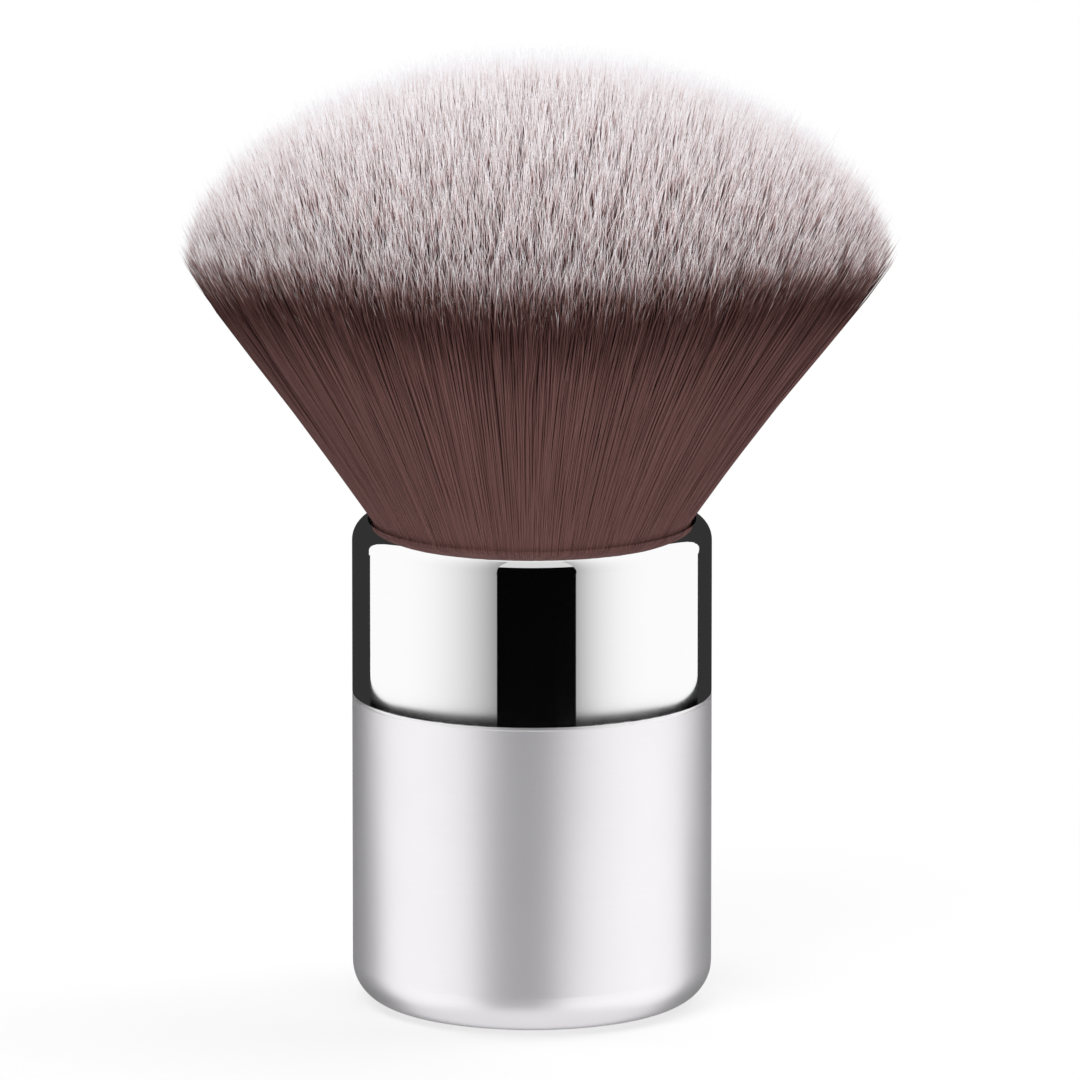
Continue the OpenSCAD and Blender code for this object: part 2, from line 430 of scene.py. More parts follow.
# Materials

BARE_METAL = (0.96, 0.96, 0.96)
SMOOTHEST_POLISH = 0.015


def satin_aluminium(settings):
    """Blasted and anodised aluminium: pale, soft and even, with a trace of turned grain."""
    material, tree, shader = principled("satin_aluminium", Metallic=0.82)
    grain = placed(tree, "turned_grain", Pitch=0.00012, Radius_Share=1.0)["Height"]
    speckle = placed(tree, "mould_grain", Scale=9000.0)
    wear = placed(tree, "edge_wear", Edge_Height=SEAM_Z, Width=0.0004)["Mask"]
    marks = placed(tree, "handling_marks", Scale=70.0, Amount=0.05)["Change"]
    tone = scaled(tree, speckle["Tone"], by=0.05, plus=0.955)
    lined = scaled(tree, grain, by=0.03, plus=-0.015)
    shade = maths(tree, "ADD", tone, lined)
    base = mixed(tree, 1.0, settings.satin_colour, grey(tree, shade), "MULTIPLY")
    worn = mixed(tree, wear, base, BARE_METAL)
    rubbed = scaled(tree, wear, by=-0.06, plus=settings.satin_roughness)
    blasted = bumped(tree, speckle["Height"], distance=2e-6, strength=0.5)
    tree.links.new(worn, shader.inputs["Base Color"])
    tree.links.new(maths(tree, "ADD", rubbed, marks), shader.inputs["Roughness"])
    tree.links.new(blasted, shader.inputs["Normal"])
    return material


def polished_aluminium(settings):
    """Buffed aluminium, close to a mirror, with the faintest buffing lines and finger marks."""
    material, tree, shader = principled("polished_aluminium", Metallic=1.0)
    grain = placed(tree, "turned_grain", Pitch=0.00009, Radius_Share=-1.0)["Height"]
    wear = placed(tree, "edge_wear", Edge_Height=SEAM_Z, Width=0.0003)["Mask"]
    marks = placed(tree, "handling_marks", Scale=110.0, Amount=0.03)["Change"]
    lined = scaled(tree, grain, by=0.02, plus=0.985)
    base = mixed(tree, 1.0, settings.mirror_colour, grey(tree, lined), "MULTIPLY")
    scuffed = scaled(tree, wear, by=0.10, plus=settings.mirror_roughness)
    rough = maths(tree, "ADD", scuffed, marks)
    tree.links.new(base, shader.inputs["Base Color"])
    tree.links.new(maths(tree, "MAXIMUM", rough, SMOOTHEST_POLISH), shader.inputs["Roughness"])
    return material


def turned_steel(settings):
    """Steel slug as it comes off the lathe."""
    material, tree, shader = principled("turned_steel", Metallic=1.0)
    grain = placed(tree, "turned_grain", Pitch=0.00016, Radius_Share=-1.0)["Height"]
    tone = placed(tree, "mould_grain", Scale=2500.0)["Tone"]
    shade = scaled(tree, tone, by=0.3, plus=0.8)
    base = mixed(tree, 1.0, settings.weight_colour, grey(tree, shade), "MULTIPLY")
    tree.links.new(base, shader.inputs["Base Color"])
    tree.links.new(scaled(tree, grain, by=0.2, plus=0.25), shader.inputs["Roughness"])
    tree.links.new(bumped(tree, grain, distance=8e-6), shader.inputs["Normal"])
    return material


def moulded_plastic(name, colour, roughness):
    """Moulded plastic with a fine grain."""
    material, tree, shader = principled(name)
    grain = placed(tree, "mould_grain", Scale=4000.0)
    shade = scaled(tree, grain["Tone"], by=0.5, plus=0.75)
    base = mixed(tree, 1.0, colour, grey(tree, shade), "MULTIPLY")
    rough = scaled(tree, grain["Tone"], by=0.2, plus=roughness - 0.1)
    tree.links.new(base, shader.inputs["Base Color"])
    tree.links.new(rough, shader.inputs["Roughness"])
    tree.links.new(bumped(tree, grain["Height"], distance=6e-6), shader.inputs["Normal"])
    return material


def cured_resin(name, colour, roughness):
    """Cast or cured resin: glossy, with darker and lighter clouds in its depth."""
    material, tree, shader = principled(name, Coat_Weight=0.5, Coat_Roughness=0.08)
    tone = placed(tree, "mould_grain", Scale=700.0)
    darker = tuple(0.55 * c for c in colour)
    clouds = node(
        tree, "ShaderNodeMapRange", {"Value": tone["Tone"], "From Min": 0.35, "From Max": 0.65}
    ).outputs[0]
    tree.links.new(mixed(tree, clouds, darker, colour), shader.inputs["Base Color"])
    tree.links.new(scaled(tree, clouds, by=0.15, plus=roughness), shader.inputs["Roughness"])
    uneven = bumped(tree, tone["Height"], distance=2e-5, strength=0.6)
    tree.links.new(uneven, shader.inputs["Normal"])
    return material


def waxed_thread(settings):
    """Waxed thread with twisted plies, which run along the turns by their own map, with painted
    shade in the grooves between them.
    """
    material, tree, shader = principled("waxed_thread", Sheen_Weight=0.2)
    uv = node(tree, "ShaderNodeUVMap", uv_map="thread").outputs[0]
    ply = node(
        tree, "ShaderNodeTexWave", {"Vector": uv, "Scale": 1.0, "Distortion": 0.4, "Detail": 2.0},
        bands_direction="DIAGONAL",
    ).outputs["Fac"]
    # Painted shade: the low parts of the ply wave, its grooves, get the darker colour
    darker = tuple(0.5 * c for c in settings.thread_colour)
    tree.links.new(mixed(tree, ply, darker, settings.thread_colour), shader.inputs["Base Color"])
    tree.links.new(scaled(tree, ply, by=-0.15, plus=0.6), shader.inputs["Roughness"])
    tree.links.new(bumped(tree, ply, distance=2e-5), shader.inputs["Normal"])
    return material


# Map of a filament: the length that fills the map, the columns that give each its own shade,
# and the margins that keep it off their edges
UV_LENGTH = 0.045
UV_COLUMNS = 128
COLUMN_MARGIN = 0.2
MAP_MARGIN = 0.002

# Colours between the white tip and the dark band
PALE_BLEND = (0.78, 0.695, 0.70)
DULL_BLEND = (0.56, 0.39, 0.385)
BROWN_BLEND = (0.33, 0.20, 0.185)
DEEP_BLEND = (0.190, 0.092, 0.083)


def two_tone_filament(settings):
    """Synthetic filament: white tip, dark band and brown length, a little different in each."""
    material, tree, shader = principled(
        "two_tone_filament", Roughness=0.62, Specular_IOR_Level=0.18
    )
    uv = node(tree, "ShaderNodeUVMap", uv_map="strand").outputs[0]
    split = node(tree, "ShaderNodeSeparateXYZ", {0: uv}).outputs
    distance = maths(tree, "SUBTRACT", 1.0, split[1])
    column = maths(tree, "FLOOR", maths(tree, "MULTIPLY", split[0], float(UV_COLUMNS)))
    noise = node(tree, "ShaderNodeTexWhiteNoise", {"W": column}, noise_dimensions="1D")
    shade = scaled(tree, noise.outputs["Value"], by=0.14, plus=0.91)
    white, dark, brown = settings.white, settings.dark_brown, settings.brown
    white_lengths = (
        (0, white), (0.18, white), (0.5, PALE_BLEND), (0.75, DULL_BLEND), (1.0, BROWN_BLEND),
        (1.5, DEEP_BLEND), (2.3, dark), (3.2, dark), (5.2, brown),
    )
    stops = [(settings.white_length * share / UV_LENGTH, tone) for share, tone in white_lengths]
    colour = ramp(tree, distance, [*stops, (1, brown)])
    base = mixed(tree, 1.0, colour, grey(tree, shade), "MULTIPLY")
    tree.links.new(base, shader.inputs["Base Color"])
    return material


def take_finish(obj, material):
    """Gives a piece one material."""
    obj.data.materials.clear()
    obj.data.materials.append(material)


# Filament head

SEED = 23

# The knot is cut into wedges, so that each piece has fewer than 200,000 triangles
WEDGES = 10

# The strands leave the mouth a little inside the cast roots under it
KNOT_INSET = 0.0004
HEAD_ROOT_R = ROOT_R - KNOT_INSET

# Roots lie on a spiral, scattered by a share of their spacing. As shares of the knot's radius,
# the flank's own strands begin at the first, and strands show along their whole length past the next
GOLDEN_ANGLE = math.pi * (3 - math.sqrt(5))
ROOT_SCATTER = 0.45
FLANK_LOW = 0.93
OUTER_SHARE = 0.87

# Corners of a strand's rings, and where along it they lie
STRAND_SIDES = 3
FULL_LEVELS = (0.0, 0.2, 0.42, 0.64, 0.82, 0.94)
INNER_LEVELS = (0.0, 0.5, 0.78, 0.92)

# Thickness: a flank strand's share, the spread, the swelling from the root and the taper to the tip
FLANK_WIDTH = 0.8
WIDTH_SPREAD = 0.12
SWELL = 0.55
SWELL_END = 0.6
TAPER_LENGTH = 0.012
TAPER_POWER = 0.6

# How far strands end below the dome: on average, at most, and how far the longest stand proud
SHORT_MEAN = 0.0007
SHORT_MOST = 0.0040
PROUD = 0.0002
FLANK_SHORT = (0.0008, 0.0036)

# Strands fan out more toward their tips, and all tips lean to the right
FLARE = 0.45
LEAN = (0.0006, 0)

# Neighbours clump: size of a clump, how far it shifts, and the waves in that size
CLUMP_SIZE = 0.0035
CLUMP_SHIFT = 0.00034
CLUMP_WAVES = (0.6, 1.6)

# How far each strand strays from its path, outward and sideways. The flank holds more outward
STRAY = (0.0003, 0.0005)
BOW = (0.00008, 0.00016)
BEND = (0.0006, 0.0009)
BEND_START = 0.72
FLANK_HOLD = 0.7
FLANK_HOLD_POWER = 6

# White tips as shares of the set length: at the rim, more in the middle, less at the left and right
# as painted shade, with more of that painted shade on the right, on the flank's own strands, and
# their spread
WHITE_RIM = 0.97
WHITE_MORE = 0.46
PAINTED_SIDE_SHADE = 0.15
PAINTED_RIGHT_SHADE = 0.12
PAINTED_SHADE_POWER = 4
WHITE_FLANK = 0.45
WHITE_SPREAD = 0.16


def turned(angle):
    """Unit vectors of an angle, one row each."""
    return np.stack([np.cos(angle), np.sin(angle)], axis=-1)


def spiral_points(count, low, rng):
    """Evenly packed points in a ring from radius low to 1, each strayed a little from its place."""
    order = np.arange(count) + 0.5
    area = 1 - low**2
    points = np.sqrt(low**2 + area * order / count)[:, None] * turned(order * GOLDEN_ANGLE)
    points += rng.normal(0, ROOT_SCATTER * math.sqrt(area / count), points.shape)
    return points / np.maximum(np.linalg.norm(points, axis=1, keepdims=True), 1)


def soft_noise(points, size, rng, waves=14):
    """Smooth noise round 0 over points, as a sum of waves in all directions."""
    total = np.zeros(len(points))
    for _ in range(waves):
        direction = turned(rng.uniform(0, 2 * math.pi)) * rng.uniform(*CLUMP_WAVES) / size
        total += np.sin(points @ direction * 2 * math.pi + rng.uniform(0, 2 * math.pi))
    return total / math.sqrt(waves)


def head_paths(settings, roots):
    """Where the strand of each root starts, and where it would end on the dome."""
    rho = np.minimum(np.linalg.norm(roots, axis=1), 1)
    toward = roots / rho[:, None]
    head_r = np.array([HEAD_HIGH.x, HEAD_HIGH.y])
    share = 1 - (1 - rho) ** settings.fan_power
    flare = toward * (head_r - HEAD_ROOT_R)
    side_rise = settings.rim_height - MOUTH_Z
    rim = MOUTH_Z + np.sqrt((head_r[0] - HEAD_ROOT_R) ** 2 + side_rise**2 - (flare**2).sum(1))
    rim += settings.rim_swell * (2 * toward[:, 0] * toward[:, 1]) ** 2
    power = settings.dome_power
    dome = (1 - share**power) ** (1 / power)
    top = rim + (settings.dome_height - rim) * dome
    tips = toward * share[:, None] * head_r
    return rho, roots * HEAD_ROOT_R, tips, top


def strands(settings, share):
    """Arrays that describe the given share of the strands of the knot."""
    rng = np.random.default_rng(SEED)
    inner, flank = int(settings.strands * share), int(settings.flank_strands * share)
    count = inner + flank
    roots = np.concatenate([spiral_points(inner, 0, rng), spiral_points(flank, FLANK_LOW, rng)])
    rho, start, tips, top = head_paths(settings, roots)
    extra = np.arange(count) >= inner
    width = np.where(extra, FLANK_WIDTH, 1)
    reach = np.sqrt(((tips - start) ** 2).sum(1) + (top - MOUTH_Z) ** 2)
    short = np.minimum(rng.exponential(SHORT_MEAN, count), SHORT_MOST) - PROUD
    short += extra * rng.uniform(*FLANK_SHORT, count)
    end = 1 - short / reach
    clump = np.stack([soft_noise(tips, CLUMP_SIZE, rng) for _ in range(2)], 1) * CLUMP_SHIFT
    outward = roots / rho[:, None]
    sideways = np.stack([-outward[:, 1], outward[:, 0]], 1)
    freedom = 1 - FLANK_HOLD * rho**FLANK_HOLD_POWER

    def wander(along, across):
        """Random displacement of each strand, smaller outward near the flank, which stays even."""
        shift = outward * (rng.normal(0, along, count) * freedom)[:, None]
        return shift + sideways * rng.normal(0, across, count)[:, None]

    stray = wander(*STRAY)
    bow = wander(*BOW)
    bend = wander(*BEND)
    # Painted shade: white tips are cut shorter toward the left and right of the head, more on the
    # right, so these sides look darker
    side = rho**PAINTED_SHADE_POWER * outward[:, 0] ** 2
    less = side * (PAINTED_SIDE_SHADE + PAINTED_RIGHT_SHADE * outward[:, 0])
    white = (WHITE_RIM + WHITE_MORE * (1 - rho**2)) * (1 - less)
    white = white * np.where(extra, WHITE_FLANK, 1) * rng.lognormal(0, WHITE_SPREAD, count)
    return {
        "start": start, "tips": tips, "top": top, "reach": reach, "end": end,
        "stray": clump + stray + np.array(LEAN), "bow": bow, "bend": bend,
        "white": white, "rho": rho,
        "turn": rng.uniform(0, 2 * math.pi, count),
        "column": rng.integers(0, UV_COLUMNS, count),
        "thickness": width * rng.lognormal(0, WIDTH_SPREAD, count),
        "angle": np.arctan2(roots[:, 1], roots[:, 0]),
    }


def strand_mesh(head, chosen, levels, diameter):
    """Vertices, triangles and map coordinates of the chosen strands, with rings at the levels."""
    pick = {key: value[chosen] for key, value in head.items()}
    count = len(pick["top"])
    rings = []
    for level in (None, *levels):
        t = np.zeros(count) if level is None else level * pick["end"]
        rings.append(strand_ring(pick, t, diameter, below=level is None))
    tip, tip_uv = strand_tip(pick)
    ring_count = len(rings)
    size = ring_count * STRAND_SIDES + 1
    points = np.concatenate([ring[0] for ring in rings] + [tip[:, None]], axis=1)
    uv = np.concatenate([ring[1] for ring in rings] + [tip_uv[:, None]], axis=1)
    pattern = [(2, 1, 0)]
    for ring in range(ring_count - 1):
        for side in range(STRAND_SIDES):
            a = ring * STRAND_SIDES + side
            b = ring * STRAND_SIDES + (side + 1) % STRAND_SIDES
            pattern += [(a, b, b + STRAND_SIDES), (a, b + STRAND_SIDES, a + STRAND_SIDES)]
    last = (ring_count - 1) * STRAND_SIDES
    for side in range(STRAND_SIDES):
        pattern.append((last + side, last + (side + 1) % STRAND_SIDES, size - 1))
    faces = np.array(pattern)[None] + (np.arange(count) * size)[:, None, None]
    return points.reshape(-1, 3), faces.reshape(-1, 3), uv.reshape(-1, 2)


def strand_axis(pick, t):
    """Points on the axis of the strands at a share t of their way from the mouth to the dome."""
    spread = t + FLARE * t**4 * (1 - t)
    bent = np.maximum(0, t - BEND_START) / (1 - BEND_START)
    across = pick["start"] + (pick["tips"] - pick["start"]) * spread[:, None]
    across = across + pick["stray"] * (t**2)[:, None]
    across = across + pick["bow"] * np.sin(math.pi * t)[:, None]
    across = across + pick["bend"] * bent[:, None] ** 2
    height = MOUTH_Z + (pick["top"] - MOUTH_Z) * t
    return np.concatenate([across, height[:, None]], axis=1)


def strand_ring(pick, t, diameter, below):
    """Corners round each strand at a share t, with their map coordinates."""
    axis = strand_axis(pick, t)
    if below:
        axis[:, 2] = ROOT_Z
    left = (pick["end"] - t) * pick["reach"]
    taper = np.minimum(1, left / TAPER_LENGTH) ** TAPER_POWER
    swell = 1 + SWELL * np.minimum(1, t / SWELL_END)
    radius = 0.5 * diameter * pick["thickness"] * swell * taper
    corners, maps = [], []
    for side in range(STRAND_SIDES):
        out = turned(pick["turn"] + 2 * math.pi * side / STRAND_SIDES) * radius[:, None]
        corners.append(np.concatenate([axis[:, :2] + out, axis[:, 2:]], axis=1))
        maps.append(strand_map(pick, left + (MOUTH_Z - ROOT_Z) * below, side / (STRAND_SIDES - 1)))
    return np.stack(corners, axis=1), np.stack(maps, axis=1)


def strand_tip(pick):
    """Tip of each strand with its map coordinates."""
    return strand_axis(pick, pick["end"]), strand_map(pick, np.zeros(len(pick["top"])), 0.5)


def strand_map(pick, left, across):
    """A strand has its column of the map across, and its distance from the tip down the map."""
    u = (pick["column"] + COLUMN_MARGIN + (1 - 2 * COLUMN_MARGIN) * across) / UV_COLUMNS
    v = 1 - left / pick["white"] / UV_LENGTH
    return np.stack([u, np.clip(v, MAP_MARGIN, 1 - MAP_MARGIN)], axis=1)


# Meshes

def mesh_object(name, points, faces, uv, maps):
    """Smooth mesh object from arrays, with the same coordinates in each named map."""
    mesh = bpy.data.meshes.new(name)
    mesh.vertices.add(len(points))
    mesh.vertices.foreach_set("co", points.astype(np.float32).ravel())
    mesh.loops.add(faces.size)
    mesh.loops.foreach_set("vertex_index", faces.astype(np.int32).ravel())
    mesh.polygons.add(len(faces))
    loop_starts = np.arange(0, faces.size, faces.shape[1], dtype=np.int32)
    mesh.polygons.foreach_set("loop_start", loop_starts)
    mesh.update(calc_edges=True)
    mesh.shade_smooth()
    for layer in maps:
        flat = uv[faces.ravel()].astype(np.float32).ravel()
        mesh.uv_layers.new(name=layer).data.foreach_set("uv", flat)
    obj = bpy.data.objects.new(name, mesh)
    bpy.context.scene.collection.objects.link(obj)
    return obj


# Thread

THREAD_SIDES = 8
STEPS_PER_TURN = 48


def wound_thread(turns):
    """One thread in close turns."""
    low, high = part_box("knot_thread")
    pitch = (high.z - low.z) / (turns + 1)
    radius = pitch / 2
    path_r = high.x - radius
    steps = STEPS_PER_TURN * turns
    share = np.linspace(0, 1, steps + 1)
    angle = share * turns * 2 * math.pi
    out = np.stack([np.cos(angle), np.sin(angle), np.zeros_like(angle)], axis=1)
    axis = out * path_r
    axis[:, 2] = low.z + radius + share * turns * pitch
    round_angle = np.arange(THREAD_SIDES) * 2 * math.pi / THREAD_SIDES
    ring = (
        out[:, None] * np.cos(round_angle)[None, :, None]
        + np.array([0, 0, 1])[None, None] * np.sin(round_angle)[None, :, None]
    )
    points = (axis[:, None] + ring * radius).reshape(-1, 3)
    index = np.arange(steps * THREAD_SIDES).reshape(steps, THREAD_SIDES)
    beside = np.roll(index, -1, axis=1)
    corners = [index, index + THREAD_SIDES, beside + THREAD_SIDES, beside]
    faces = np.stack(corners, axis=-1).reshape(-1, 4)
    length = share * turns * 2 * math.pi * path_r / radius
    across = np.arange(THREAD_SIDES) / THREAD_SIDES
    uv = np.stack([np.repeat(length, THREAD_SIDES), np.tile(across, steps + 1)], axis=1)
    return mesh_object("wound_thread", points, faces, uv, ["thread"])


# Stage

# Tent of panels that the metal mirrors: radius, heights, and azimuths in degrees.
# SEAM_LINE, SHELL_DROP and CORNER_RISE are heights on the handle, where their mirror image ends
TENT_R = 0.30
TENT_LOW = -0.30
TENT_HIGH = 0.50
PANEL_STEP = 1.5
CARD_TOP = 0.198
CARD_LEFT, CARD_RIGHT = -21.8, 27.6
BOX_LEFT, BOX_RIGHT = -96, 96
WALL_LEFT, WALL_RIGHT = -125, 131
SHELL_CARD_LEFT, SHELL_CARD_RIGHT = -34, 16
SHELL_WALL_LEFT, SHELL_WALL_RIGHT = -111, 113
SEAM_LINE = 0.0011
SHELL_DROP = 0.003
CORNER_RISE = 0.0022


def curved_panel(name, start, end, low, high, material):
    """Upright panel bent round the brush, from one azimuth to another. 0 is toward the camera.

    Its low and high edge are heights, or functions that give the height at each azimuth.
    """
    columns = int(abs(end - start) / PANEL_STEP)
    share = np.linspace(0, 1, columns + 1)
    azimuth = start + (end - start) * share
    x, y = TENT_R * np.sin(np.radians(azimuth)), -TENT_R * np.cos(np.radians(azimuth))
    heights = [edge(azimuth) if callable(edge) else np.full_like(x, edge) for edge in (low, high)]
    points = np.concatenate([np.stack([x, y, z], axis=1) for z in heights])
    faces = [(i, i + 1, i + columns + 2, i + columns + 1) for i in range(columns)]
    uv = np.array([(s, v) for v in (0, 1) for s in share])
    obj = mesh_object(name, points, np.array(faces), uv, ["across"])
    obj.data.materials.append(material)
    obj.visible_camera = False
    obj.visible_diffuse = False
    obj.visible_shadow = False
    obj.visible_transmission = False


def emitting(name, build):
    """Material that only gives off light. build returns its strength from the tree."""
    material = bpy.data.materials.new(name)
    material.use_nodes = True
    tree = material.node_tree
    tree.nodes.clear()
    shader = node(tree, "ShaderNodeEmission", {"Strength": build(tree)})
    node(tree, "ShaderNodeOutputMaterial", {"Surface": shader.outputs[0]})
    material.cycles.emission_sampling = "NONE"
    return material


def softbox_light(name, fade, power):
    """Light of a softbox that fades toward its inner edge."""
    def build(tree):
        uv = node(tree, "ShaderNodeUVMap", uv_map="across").outputs[0]
        across = node(tree, "ShaderNodeSeparateXYZ", {0: uv}).outputs[0]
        left = maths(tree, "SUBTRACT", 1.0, across, clamp=True)
        drop = maths(tree, "MULTIPLY", maths(tree, "POWER", left, power), fade)
        return maths(tree, "SUBTRACT", 1.0, drop)
    return emitting(name, build)


def plain_light(name, level):
    """Light of the same strength all over."""
    return emitting(name, lambda tree: level)


def mirrored(height, azimuth, camera):
    """Height on the tent that the camera sees in the handle's upright side at a given height."""
    rise = camera.aim[2] + camera.distance * math.sin(camera.elevation) - height
    reach = camera.distance * math.cos(camera.elevation) - HANDLE_R
    travel = TENT_R - HANDLE_R * np.cos(np.radians(azimuth) / 2)
    return height - rise / reach * travel


def build_tent(camera):
    """Panels round the brush: the ferrule mirrors the upper row, and the satin shell the lower."""
    full = plain_light("full_softbox_light", level=1.0)
    front = plain_light("front_softbox_light", level=0.7)
    soft = plain_light("shell_softbox_light", level=1.10)
    black = plain_light("black_card_light", level=0.0015)
    dim = plain_light("grey_wall_light", level=0.032)
    shade = plain_light("shell_wall_light", level=0.09)
    card = plain_light("shell_card_light", level=0.25)
    left = softbox_light("left_softbox_light", fade=0.66, power=2.6)
    right = softbox_light("right_softbox_light", fade=0.58, power=3.6)
    behind = WALL_LEFT + 360
    shell_behind = SHELL_WALL_LEFT + 360

    def seam(azimuth):
        """Lower edge of the upper row, which leaves a thin dark line above the seam."""
        return mirrored(SEAM_Z + SEAM_LINE, azimuth, camera)

    def cornered(azimuth):
        """Lower edge of the walls, which curves up to their far corner."""
        share = (np.abs(azimuth) - BOX_RIGHT) / (abs(azimuth[-1]) - BOX_RIGHT)
        return seam(azimuth) + CORNER_RISE * (1 - np.sqrt(np.maximum(0, 1 - share**2)))

    def shell(azimuth):
        """Upper edge of the lower row."""
        return mirrored(SEAM_Z - SHELL_DROP, azimuth, camera)

    upper = (
        ("black_card", CARD_LEFT, CARD_RIGHT, seam, CARD_TOP, black),
        ("front_softbox", CARD_LEFT, CARD_RIGHT, CARD_TOP, TENT_HIGH, front),
        ("left_softbox", CARD_LEFT, BOX_LEFT, seam, TENT_HIGH, left),
        ("right_softbox", CARD_RIGHT, BOX_RIGHT, seam, TENT_HIGH, right),
        ("left_wall", BOX_LEFT, WALL_LEFT, cornered, TENT_HIGH, full),
        ("right_wall", BOX_RIGHT, WALL_RIGHT, cornered, TENT_HIGH, full),
        ("left_corner", BOX_LEFT, WALL_LEFT, seam, cornered, dim),
        ("right_corner", BOX_RIGHT, WALL_RIGHT, seam, cornered, dim),
        ("grey_wall", WALL_RIGHT, behind, seam, TENT_HIGH, dim),
        ("frame_front", WALL_LEFT, WALL_RIGHT, shell, seam, black),
        ("frame_back", WALL_RIGHT, behind, shell, seam, dim),
    )
    lower = (
        ("shell_card", SHELL_CARD_LEFT, SHELL_CARD_RIGHT, TENT_LOW, shell, card),
        ("shell_softbox_left", SHELL_CARD_LEFT, SHELL_WALL_LEFT, TENT_LOW, shell, soft),
        ("shell_softbox_right", SHELL_CARD_RIGHT, SHELL_WALL_RIGHT, TENT_LOW, shell, soft),
        ("shell_wall", SHELL_WALL_RIGHT, shell_behind, TENT_LOW, shell, shade),
    )
    for name, start, end, low, high, light in upper + lower:
        curved_panel(name, start, end, low, high, light)


def seen_directly(tree):
    """1 for rays from the camera, from mirrors and through glass, and 0 for light on things."""
    path = node(tree, "ShaderNodeLightPath").outputs
    seen = maths(tree, "MAXIMUM", path["Is Camera Ray"], path["Is Glossy Ray"])
    return maths(tree, "MAXIMUM", seen, path["Is Transmission Ray"])


# Floor: half its width, its height, and the distances and share at which it turns white
FLOOR_HALF = 3.0
FLOOR_Z = -0.0001
WHITE_START = 0.015
WHITE_END = 0.085
WHITE_NEAR = 0.6


def build_floor(settings):
    """Wide pale floor that keeps the soft shadow of the brush."""
    uv = np.array([(0, 0), (1, 0), (1, 1), (0, 1)])
    points = np.column_stack([(2 * uv - 1) * FLOOR_HALF, np.full(len(uv), FLOOR_Z)])
    floor = mesh_object("floor", points, np.array([(0, 1, 2, 3)]), uv, ["floor"])
    material = bpy.data.materials.new("pale_floor")
    material.use_nodes = True
    tree = material.node_tree
    tree.nodes.clear()
    seen = seen_directly(tree)
    bounced = [settings.floor_bounce * c for c in settings.floor_colour]
    colour = mixed(tree, seen, bounced, list(settings.floor_colour))
    lit = node(tree, "ShaderNodeBsdfDiffuse", {"Color": colour})
    white = node(tree, "ShaderNodeEmission", {"Strength": 1.0})
    at = node(tree, "ShaderNodeTexCoord").outputs["Object"]
    away = node(tree, "ShaderNodeVectorMath", {0: at}, operation="LENGTH").outputs["Value"]
    whiter = node(
        tree, "ShaderNodeMapRange",
        {"Value": away, "From Min": WHITE_START, "From Max": WHITE_END, "To Min": WHITE_NEAR},
        interpolation_type="SMOOTHSTEP",
    ).outputs[0]
    share = maths(tree, "MULTIPLY", seen, whiter)
    both = node(tree, "ShaderNodeMixShader", {0: share, 1: lit.outputs[0], 2: white.outputs[0]})
    node(tree, "ShaderNodeOutputMaterial", {"Surface": both.outputs[0]})
    material.cycles.emission_sampling = "NONE"
    floor.data.materials.append(material)
    floor.visible_glossy = False


def build_world(settings):
    """Backdrop that the camera sees white and the metal a little darker, with even grey light."""
    world = bpy.data.worlds.new("studio")
    bpy.context.scene.world = world
    world.use_nodes = True
    tree = world.node_tree
    tree.nodes.clear()
    span = settings.mirrored_backdrop - settings.ambient
    mirrored_or_lit = maths(tree, "MULTIPLY_ADD", seen_directly(tree), span, settings.ambient)
    to_camera = node(tree, "ShaderNodeLightPath").outputs["Is Camera Ray"]
    strength = maths(tree, "MAXIMUM", mirrored_or_lit, to_camera)
    light = node(tree, "ShaderNodeBackground", {"Color": (1, 1, 1, 1), "Strength": strength})
    node(tree, "ShaderNodeOutputWorld", {"Surface": light.outputs[0]})


# Point in the head that the lamps face
LAMP_AIM = (0, 0, 0.05)


def area_light(name, place, size, power):
    """Soft square light on the brush that metals don't mirror."""
    data = bpy.data.lights.new(name, "AREA")
    data.size = size
    data.energy = power
    lamp = bpy.data.objects.new(name, data)
    lamp.location = place
    lamp.rotation_euler = (Vector(LAMP_AIM) - lamp.location).to_track_quat("-Z", "Y").to_euler()
    lamp.visible_glossy = False
    bpy.context.scene.collection.objects.link(lamp)


def build_camera(settings):
    """Long lens at the height that shows the mouth of the ferrule as a flat ellipse."""
    data = bpy.data.cameras.new("camera")
    data.lens = data.sensor_width * settings.distance / settings.frame_width
    camera = bpy.data.objects.new("camera", data)
    aim = Vector(settings.aim)
    away = Vector((0, -math.cos(settings.elevation), math.sin(settings.elevation)))
    camera.location = aim + away * settings.distance
    camera.rotation_euler = (-away).to_track_quat("-Z", "Y").to_euler()
    bpy.context.scene.collection.objects.link(camera)
    bpy.context.scene.camera = camera


# Operators

class BRUSH_OT_studio(bpy.types.Operator):
    """Set up the camera, floor, lights and the panels that the metal mirrors"""

    bl_idname = "brush.studio"
    bl_label = "Studio"

    def execute(self, context):
        settings = context.scene.brush_studio
        context.scene.view_settings.view_transform = "Standard"
        build_camera(settings)
        build_floor(settings)
        build_world(settings)
        lamps = (
            ("key_light", (-0.20, -0.42, 0.68), 0.45, settings.key_power),
            ("left_light", (-0.38, -0.65, 0.14), 0.4, settings.left_power),
            ("right_light", (0.42, -0.62, 0.14), 0.4, settings.right_power),
            ("top_light", (0.10, 0.25, 0.72), 0.5, settings.top_power),
            ("left_rim_light", (-0.46, 0.10, 0.62), 0.4, settings.left_rim_power),
            ("right_rim_light", (0.47, 0.12, 0.60), 0.4, settings.right_rim_power),
        )
        for name, place, size, power in lamps:
            area_light(name, place, size, power)
        build_tent(settings)
        return {"FINISHED"}


class BRUSH_OT_handle_shell(bpy.types.Operator):
    """Finish the drawn shell in satin aluminium"""

    bl_idname = "brush.handle_shell"
    bl_label = "Handle shell"

    def execute(self, context):
        material = satin_aluminium(context.scene.brush_metal)
        take_finish(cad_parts["handle_shell"], material)
        return {"FINISHED"}


